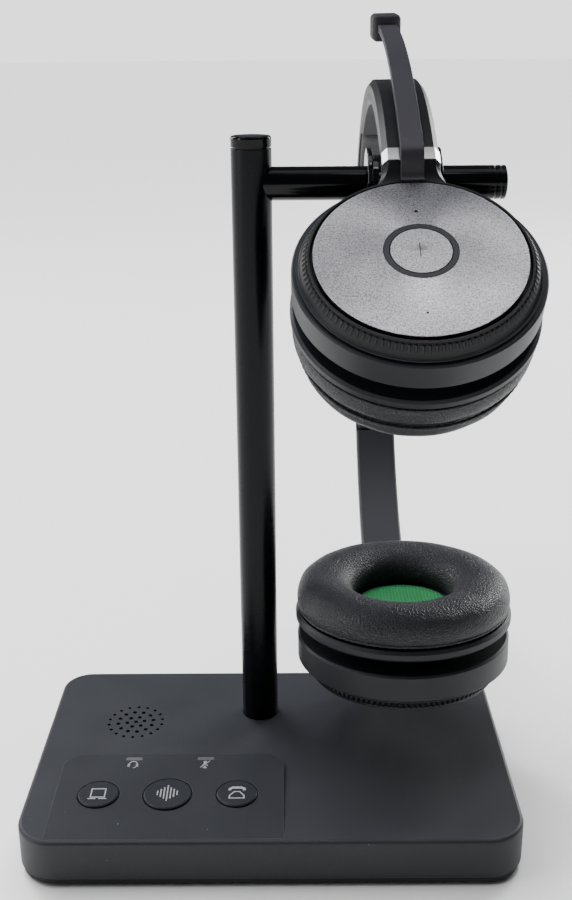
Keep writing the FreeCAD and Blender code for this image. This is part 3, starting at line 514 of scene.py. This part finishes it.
def welt(side, number, radius, height):
    """Leather piping along a seam, with a stitch dimple every few millimetres."""
    around, section = 360, 10
    rings = []
    for k in range(section):
        turn = 2 * math.pi * k / section
        loop = []
        for j in range(around):
            angle = 2 * math.pi * j / around
            uneven = noise.noise(Vector((j * 0.3, number, 7)))
            size = WELT_MM * (1 - STITCH_DIP * math.cos(STITCHES * angle) - WELT_UNEVEN * uneven)
            r = radius + size * math.cos(turn)
            loop.append((r * math.cos(angle), r * math.sin(angle), height + size * math.sin(turn)))
        rings.append(loop)
    piece = revolved("welt_%s_%d" % (side, number), rings, CUPS[side], wrap=True)
    dress(piece, "cushion_leather", side + "_pad")


for side in ("upper", "lower"):
    ear_cushion(side)
    for number, (radius, height) in enumerate(WELTS[side]):
        welt(side, number, radius, height)

# ---------------------------------------------------------------- knurled grip rings
RIBS = 112
RIB_STEPS = 8         # points for each rib and its gap
RIB_MM = 0.5
RIB_FLANK, RIB_LEVEL = 3, 0.3               # how steep a rib's sides are, and how wide its top
GRIP_INNER, GRIP_OUTER = (30.0, 0.9), (32.2, 4.1)     # (radius, height) of the cone's two ends
GRIP_BACK = 4.4       # height of the ring's hidden back
GRIP_BORE = 29.8
GRIP_SHARES = (0.0, 0.06, 0.12, 0.30, 0.50, 0.56, 0.62, 0.80, 1.0)
RIB_FROM, RIB_TO = 0.1, 0.58                # the ribbed part of the cone, as shares of its length
RIBBED_ROWS, RIB_COLUMNS = (2, 3, 4), (0, RIB_STEPS - 1)
# lighter copy of the grip plastic for the rib tops: a painted highlight where the ribs catch the light
RIB_TOP_HIGHLIGHT = hard_plastic("rib_tops_painted_highlight", (0.0100, 0.0106, 0.0130), 0.4, 0.3, 0.01, 0.1, 0.6)


def grip_rings():
    """Cone between the disc's rim and the cup, with short ribs on its outer part."""
    (r0, a0), (r1, a1) = GRIP_INNER, GRIP_OUTER
    slope = math.hypot(r1 - r0, a1 - a0)
    nr, na = (a1 - a0) / slope, -(r1 - r0) / slope
    rings = []
    count = RIBS * RIB_STEPS
    for share in GRIP_SHARES:
        ribbed = 1.0 if RIB_FROM < share < RIB_TO else 0.0
        loop = []
        for j in range(count):
            phase = 2 * math.pi * (j % RIB_STEPS) / RIB_STEPS
            top = 0.5 + 0.5 * math.tanh(RIB_FLANK * (math.cos(phase) - RIB_LEVEL))
            relief = ribbed * RIB_MM * top - RIB_MM
            r = r0 + (r1 - r0) * share + nr * relief
            a = a0 + (a1 - a0) * share + na * relief
            angle = 2 * math.pi * j / count
            loop.append((r * math.cos(angle), r * math.sin(angle), a))
        rings.append(loop)
    for radius, height in ((r1, GRIP_BACK), (GRIP_BORE, GRIP_BACK), (GRIP_BORE, 1.0)):
        rings.append(circle(radius, height, count))
    return rings


for side in ("upper", "lower"):
    grip = revolved("grip_" + side, grip_rings(), CUPS[side], wrap=True)
    sharpen(grip, 50)
    dress(grip, "grip_plastic", side + "_cup", "grip_ring_" + side)
    # the rib-top faces get the lighter copy of the grip plastic: painted highlight on the ribs
    grip.data.materials.append(RIB_TOP_HIGHLIGHT)
    count = RIBS * RIB_STEPS
    for face in grip.data.polygons:
        row, column = divmod(face.index, count)
        if row in RIBBED_ROWS and column % RIB_STEPS in RIB_COLUMNS:
            face.material_index = 1


# ---------------------------------------------------------------- green ear cloths
CLOTH_R = 14.75       # a little more than the loudspeaker's radius, in millimetres
CLOTH_A = 22.35       # height of the cloth's edge
CLOTH_SAG, CLOTH_THICK = 0.35, 0.35
CLOTH_ROWS, CLOTH_AROUND = 18, 72
CLOTH_MID = (0.4, 21.66)                    # (radius, height) of the innermost ring underneath


def cloth_disc(side):
    """Round cloth that sags a little between its edge and the loudspeaker."""
    rings = []
    for i in range(1, CLOTH_ROWS + 1):
        share = i / CLOTH_ROWS
        rings.append(circle(CLOTH_R * share, CLOTH_A - CLOTH_SAG * (1 - share ** 2), CLOTH_AROUND))
    for share in (1.0, 0.5):
        height = CLOTH_A - CLOTH_SAG * (1 - share ** 2) - CLOTH_THICK
        rings.append(circle(CLOTH_R * share - 0.01, height, CLOTH_AROUND))
    rings.append(circle(*CLOTH_MID, CLOTH_AROUND))
    return revolved("ear_cloth_" + side, rings, CUPS[side], close_ends=True)


for side in ("upper", "lower"):
    cloth = cloth_disc(side)
    dress(cloth, "ear_fabric", side + "_pad", "ear_fabric_" + side)

# ---------------------------------------------------------------- printed signs on the control panel
INK_MM = 0.045        # how far the print stands out of the surface
INK = hard_plastic("sign_ink", (0.13, 0.133, 0.137), 0.55, 0.3, 0.004, 0.02, 0.0)
SIGN_SCALE, SIGN_STRETCH = 0.92, 1.10       # across and along the panel
SIGN_BELOW_LIGHT = 2.2                      # from a light window's front edge to the sign's middle, in mm
LIGHT_SHAPE = 5.2 / 1.7                     # a light window's length over its width


def ribbon(points, width, closed=False):
    """Flat band of even width along a line, as points and faces of a thin closed solid."""
    half = width / 2
    left, right = [], []
    count = len(points)
    for i, point in enumerate(points):
        here = Vector(point)
        sides = []
        if closed or i > 0:
            sides.append((here - Vector(points[i - 1])).normalized())
        if closed or i < count - 1:
            sides.append((Vector(points[(i + 1) % count]) - here).normalized())
        along = sum(sides, Vector((0, 0))).normalized()
        reach = half / max(0.5, along.dot(sides[0]))
        offset = Vector((-along.y, along.x)) * reach
        left.append(here + offset)
        right.append(here - offset)
    solid = [(*p, z) for z in (INK_MM, -INK_MM) for line in (left, right) for p in line]
    top_left, top_right, low_left, low_right = (range(k * count, (k + 1) * count) for k in range(4))
    faces = []
    for i in range(count if closed else count - 1):
        k = (i + 1) % count
        faces.append((top_left[k], top_left[i], top_right[i], top_right[k]))
        faces.append((low_left[i], low_left[k], low_right[k], low_right[i]))
        faces.append((top_left[i], top_left[k], low_left[k], low_left[i]))
        faces.append((top_right[k], top_right[i], low_right[i], low_right[k]))
    if not closed:
        faces.append((top_left[0], low_left[0], low_right[0], top_right[0]))
        faces.append((top_right[-1], low_right[-1], low_left[-1], top_left[-1]))
    return solid, faces


def arc(radius, start_deg, end_deg, steps=18, centre=(0.0, 0.0)):
    """Points on part of a circle."""
    out = []
    for i in range(steps + 1):
        angle = math.radians(start_deg + (end_deg - start_deg) * i / steps)
        out.append((centre[0] + radius * math.cos(angle), centre[1] + radius * math.sin(angle)))
    return out


def sign(name, bands, at, tilt=0.0):
    """One printed sign made of ribbons; at is its place in metres, tilt its slope about X."""
    points, faces = [], []
    for band in bands:
        more, its_faces = ribbon(*band)
        faces += [tuple(k + len(points) for k in face) for face in its_faces]
        points += more
    points = [(x * SIGN_SCALE, y * SIGN_STRETCH, z) for x, y, z in points]
    piece = mesh_piece(name, points, faces, Matrix.Translation(at) @ Matrix.Rotation(tilt, 4, "X"))
    sharpen(piece, 30)
    piece.data.materials.append(INK)
    return piece


# each sign is a list of ribbons: points in millimetres, width, and whether the ends join
BAR_HEIGHTS = (2.0, 3.6, 5.0, 7.0, 5.0, 3.6, 2.0)
BAR_PITCH = 1.08
LAPTOP = [
    ([(-2.3, -1.7), (2.3, -1.7), (2.3, 2.0), (-2.3, 2.0)], 0.42, True),
    ([(-3.1, -2.35), (-0.5, -2.35)], 0.42),
    ([(0.5, -2.35), (3.1, -2.35)], 0.42),
]
WAVE = [([(BAR_PITCH * (i - 3), -h / 2), (BAR_PITCH * (i - 3), h / 2)], 0.46)
        for i, h in enumerate(BAR_HEIGHTS)]
DESK_PHONE = [
    ([(-2.45, 1.0), (-2.35, 1.75), (-1.4, 2.25), (1.4, 2.25), (2.35, 1.75), (2.45, 1.0)], 0.95),
    ([(-2.5, -2.4), (2.5, -2.4), (2.35, -1.3), (0.9, 0.45), (-0.9, 0.45), (-2.35, -1.3)], 0.42, True),
]
HEADSET = [
    (arc(1.45, -35, 215), 0.36),
    ([(-1.4, -0.95), (-1.4, 0.25)], 0.8),
    ([(1.4, -0.95), (1.4, 0.25)], 0.8),
    (arc(1.5, -42, -85, 8), 0.3),
]
MUTED_MIC = [
    ([(0.0, -0.25), (0.0, 1.45)], 1.05),
    (arc(1.05, 200, 340, 14, (0.0, 0.1)), 0.3),
    ([(0.0, -0.95), (0.0, -1.6)], 0.3),
    ([(-0.75, -1.65), (0.75, -1.65)], 0.3),
    ([(-1.5, -1.35), (1.6, 1.55)], 0.32),
]


def print_signs():
    """Signs on the three buttons, and two beside the light windows."""
    for node_name, body, bands in (("button_computer", "computer_key", LAPTOP),
                                   ("button_voice", "voice_key", WAVE),
                                   ("button_phone", "phone_key", DESK_PHONE)):
        low_corner, high_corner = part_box(node_name)
        middle = (low_corner + high_corner) / 2
        piece = sign("sign_" + body, bands, (middle.x, middle.y, high_corner.z))
        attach(piece, body)
    panel_low, panel_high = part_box("control_panel")
    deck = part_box("base_top_cover")[1].z
    slope = (panel_high.z - deck) / (panel_high.y - panel_low.y)
    lights_low, lights_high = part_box("status_lights")
    y = lights_low.y - SIGN_BELOW_LIGHT * MM
    z = deck + slope * (y - panel_low.y)
    half_light = (lights_high.y - lights_low.y) * LIGHT_SHAPE / 2
    for name, x, bands in (("sign_headset", lights_low.x + half_light, HEADSET),
                           ("sign_muted_mic", lights_high.x - half_light, MUTED_MIC)):
        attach(sign(name, bands, (x, y, z), math.atan(slope)), "base")


print_signs()

# ---------------------------------------------------------------- mark on the call button
DARK_INK = hard_plastic("mark_ink", (0.02, 0.02, 0.022), 0.5, 0.3, 0.004, 0.02, 0.0)
DISC_EDGE_R, DISC_RISE = 28.2, 2.0          # the disc's dome, over which the button lies flush
BUTTON_SUNK = 0.12                          # the button's face lies this far under that dome
MARK_MIDDLE = (0.3, 0.2)
MARK_HALF_WIDTH, MARK_HALF_LENGTH, MARK_STEPS = 0.13, 2.6, 8
MARK_OUT, MARK_IN = 0.03, 0.1               # how far it stands out of the face and reaches into it


def call_mark():
    """Fine upright line on the call button, which follows the button's dome."""
    sphere = (DISC_EDGE_R ** 2 + DISC_RISE ** 2) / (2 * DISC_RISE)
    corners = ((-MARK_HALF_WIDTH, -MARK_OUT), (MARK_HALF_WIDTH, -MARK_OUT),
               (MARK_HALF_WIDTH, MARK_IN), (-MARK_HALF_WIDTH, MARK_IN))
    points, faces = [], []
    for i in range(MARK_STEPS + 1):
        y = MARK_HALF_LENGTH * (2 * i / MARK_STEPS - 1) + MARK_MIDDLE[1]
        face = sphere - math.sqrt(sphere ** 2 - y ** 2) - DISC_RISE + BUTTON_SUNK
        points += [(x + MARK_MIDDLE[0], y, face + depth) for x, depth in corners]
    for i in range(MARK_STEPS):
        near, far = i * 4, i * 4 + 4
        for k in range(4):
            faces.append((near + k, far + k, far + (k + 1) % 4, near + (k + 1) % 4))
    faces += [(0, 1, 2, 3), tuple(MARK_STEPS * 4 + k for k in (3, 2, 1, 0))]
    piece = mesh_piece("call_mark", points, faces, CUPS["upper"])
    sharpen(piece, 30)
    piece.data.materials.append(DARK_INK)
    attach(piece, "call_key")


call_mark()

# ---------------------------------------------------------------- headband pad
PAD_MID_DEG, PAD_HALF_DEG = 13.06, 45.2     # where on the band's curve the pad lies
SEAT_R = 89.9         # radius of the band's inner face, on which the pad lies
PAD_SECTION = ((-7.3, SEAT_R), (-7.5, 88.9), (-6.6, 87.9), (-4.0, 87.45), (0.0, 87.3), (4.0, 87.45),
               (6.6, 87.9), (7.5, 88.9), (7.3, SEAT_R), (0.0, SEAT_R))
PAD_FACE_R = 88       # the part of the section inside this radius is lumpy
PAD_LUMP_MM = 0.12
PAD_STEPS = 140
PAD_END = 0.045       # share of the pad's half length over which it thins out


def band_matrix():
    """The headband's own frame: origin at its centre of curvature, X across it."""
    across = Vector(JOINTS["upper_extension"]["axis"])
    back = Vector((0, 1, 0))
    rotation = Matrix((across, back, across.cross(back))).transposed()
    return Matrix.Translation(JOINTS["upper_extension"]["pos_m"]) @ rotation.to_4x4()


def pad_rings():
    """Sections of the pad from one rounded end to the other."""
    rings = []
    for i in range(PAD_STEPS + 1):
        t = 2 * i / PAD_STEPS - 1
        into_end = max(0.0, (abs(t) - 1 + PAD_END) / PAD_END)
        full = math.sqrt(max(0.0, 1 - into_end ** 2))
        angle = math.radians(PAD_MID_DEG + PAD_HALF_DEG * t)
        loop = []
        for x, r in PAD_SECTION:
            depth = SEAT_R - (SEAT_R - r) * (0.25 + 0.75 * full)
            if r < PAD_FACE_R:
                depth += PAD_LUMP_MM * noise.noise(Vector((x * 0.25, i * 0.12, 3.0)))
            loop.append((x * (0.85 + 0.15 * full), depth * math.cos(angle), depth * math.sin(angle)))
        rings.append(loop)
    return rings


pad = revolved("band_pad", pad_rings(), band_matrix(), close_ends=True)
pad_smooth = pad.modifiers.new("smooth", "SUBSURF")
pad_smooth.levels = pad_smooth.render_levels = 1
dress(pad, "band_leather", "headband", "headband_pad")

# ---------------------------------------------------------------- rubber foot
FOOT_FRONT_R, FOOT_BACK_R, FOOT_LEAST_R = 7.5, 5.0, 0.6    # corner radii in millimetres
CORNER_STEPS = 10
GROOVES, GROOVE_PITCH = 5, 2.0
GROOVE_SECTION = ((0.0, 0.0), (0.15, 0.3), (0.75, 0.3), (0.9, 0.0))     # (inset, height)
FLAT_INSET = 12.0     # the flat middle starts here


def foot_outline(inset, z):
    """The foot's outline, pulled in by inset, as one ring of points."""
    low_corner, high_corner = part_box("anti_slip_pad")
    x0, y0 = low_corner.x / MM + inset, low_corner.y / MM + inset
    x1, y1 = high_corner.x / MM - inset, high_corner.y / MM - inset
    loop = []
    for cx, cy, corner_r, start in ((x1, y0, FOOT_FRONT_R, 270), (x1, y1, FOOT_BACK_R, 0),
                                    (x0, y1, FOOT_BACK_R, 90), (x0, y0, FOOT_FRONT_R, 180)):
        r = max(corner_r - inset, FOOT_LEAST_R)
        mx = cx - r if cx == x1 else cx + r
        my = cy - r if cy == y1 else cy + r
        loop += [(*point, z) for point in arc(r, start, start + 90, CORNER_STEPS, (mx, my))]
    return loop


def rubber_foot():
    """Sheet of rubber with rows of grooves around its underside."""
    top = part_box("anti_slip_pad")[1].z / MM
    rings = [foot_outline(FLAT_INSET, top - 0.01), foot_outline(0.1, top - 0.01),
             foot_outline(0.0, top - 0.15), foot_outline(0.0, 0.2), foot_outline(0.2, 0.0)]
    for groove in range(GROOVES):
        at = GROOVE_PITCH * (1 + groove)
        rings += [foot_outline(at + d, z) for d, z in GROOVE_SECTION]
    rings.append(foot_outline(FLAT_INSET, 0.0))
    piece = revolved("rubber_foot", rings, Matrix.Identity(4), close_ends=True)
    sharpen(piece, 40)
    dress(piece, "pad_rubber", "base", "anti_slip_pad")


rubber_foot()

# ---------------------------------------------------------------- floor, light and camera
FLOOR_R = 14000.0     # millimetres
LAMP_AIM = Vector((0.0, 0.0, 0.1))
SKY_STRENGTH = 0.13
BACKDROP_STRENGTH = 2.0                     # what the camera sees past the floor's edge


def make_floor():
    """Wide sheet of pale paper under the foot."""
    rings = [circle(r, 0.0, 64) for r in (1.0, 300.0, 1500.0, FLOOR_R)]
    floor = revolved("floor", rings, Matrix.Identity(4))
    floor.data.flip_normals()
    finish = Finish("floor_paper", (0.48, 0.48, 0.48), 0.9, specular=0.1)
    finish.bump(finish.noise(1.5, 4.0), 0.01)
    floor.data.materials.append(finish.done())


def area_light(name, at, size, watts):
    """Soft box that is aimed at the middle of the object."""
    data = bpy.data.lights.new(name, "AREA")
    data.shape = "RECTANGLE"
    data.size, data.size_y = size
    data.energy = watts
    lamp = bpy.data.objects.new(name, data)
    lamp.location = at
    lamp.rotation_mode = "QUATERNION"
    lamp.rotation_quaternion = (LAMP_AIM - Vector(at)).to_track_quat("-Z", "Y")
    bpy.context.scene.collection.objects.link(lamp)


def sun_light(name, towards, softness_deg, strength):
    """Far, soft light for the matte surfaces; gloss is left to the boxes."""
    data = bpy.data.lights.new(name, "SUN")
    data.energy = strength
    data.angle = math.radians(softness_deg)
    lamp = bpy.data.objects.new(name, data)
    lamp.rotation_mode = "QUATERNION"
    lamp.rotation_quaternion = Vector(towards).to_track_quat("-Z", "Y")
    lamp.visible_glossy = False
    bpy.context.scene.collection.objects.link(lamp)


def make_lights():
    """Suns for the matte surfaces, boxes for the highlights, and a backdrop that lights nothing."""
    sun_light("overhead", (0.35, -0.25, -1.0), 60, 6.5)
    sun_light("back_left", (0.30, -0.50, -1.0), 14, 4.0)
    sun_light("back_right", (-0.30, -0.50, -1.0), 14, 2.5)
    area_light("top_box", (0.0, 0.05, 1.5), (2.4, 0.6), 6.0)
    area_light("top_left", (-0.45, 0.05, 1.3), (0.2, 0.2), 0.75)
    area_light("top_right", (0.52, 0.15, 1.3), (0.2, 0.2), 0.55)
    area_light("top_front", (0.15, -0.36, 1.3), (0.12, 0.2), 0.40)
    area_light("left_back_box", (-0.78, 0.71, 0.60), (0.45, 0.7), 6.0)
    area_light("right_back_box", (0.82, 0.87, 0.49), (0.45, 0.6), 11.0)
    area_light("left_box", (-1.0, -0.35, 0.50), (0.20, 0.7), 5.0)
    world = bpy.data.worlds.new("studio")
    bpy.context.scene.world = world
    world.use_nodes = True
    tree = world.node_tree
    sky = tree.nodes["Background"]
    sky.inputs["Color"].default_value = (0.9, 0.93, 1.0, 1)
    sky.inputs["Strength"].default_value = SKY_STRENGTH
    bright = tree.nodes.new("ShaderNodeBackground")
    bright.inputs["Color"].default_value = (1, 1, 1, 1)
    bright.inputs["Strength"].default_value = BACKDROP_STRENGTH
    path = tree.nodes.new("ShaderNodeLightPath")
    mix = tree.nodes.new("ShaderNodeMixShader")
    tree.links.new(path.outputs["Is Camera Ray"], mix.inputs[0])
    tree.links.new(sky.outputs[0], mix.inputs[1])
    tree.links.new(bright.outputs[0], mix.inputs[2])
    tree.links.new(mix.outputs[0], tree.nodes["World Output"].inputs[0])


CAMERA_AT = (0.00679, -0.31997, 0.23327)
LENS_MM, SENSOR_MM = 45.93, 36.0
PITCH_DOWN, YAW, ROLL = (math.radians(a) for a in (19.687, -0.274, 0.453))


def make_camera():
    """Camera in front of the base and a little above it, looking down."""
    data = bpy.data.cameras.new("camera")
    data.sensor_fit = "AUTO"
    data.sensor_width = SENSOR_MM
    data.lens = LENS_MM
    data.clip_start, data.clip_end = 0.01, 20.0
    camera = bpy.data.objects.new("camera", data)
    forward = Vector((math.sin(YAW) * math.cos(PITCH_DOWN), math.cos(YAW) * math.cos(PITCH_DOWN),
                      -math.sin(PITCH_DOWN)))
    level = Vector((math.cos(YAW), -math.sin(YAW), 0))
    down = forward.cross(level)
    right = math.cos(ROLL) * level + math.sin(ROLL) * down
    up = math.sin(ROLL) * level - math.cos(ROLL) * down
    rotation = Matrix((right, up, -forward)).transposed()
    camera.matrix_world = Matrix.Translation(CAMERA_AT) @ rotation.to_4x4()
    bpy.context.scene.collection.objects.link(camera)
    bpy.context.scene.camera = camera


make_floor()
make_lights()
make_camera()
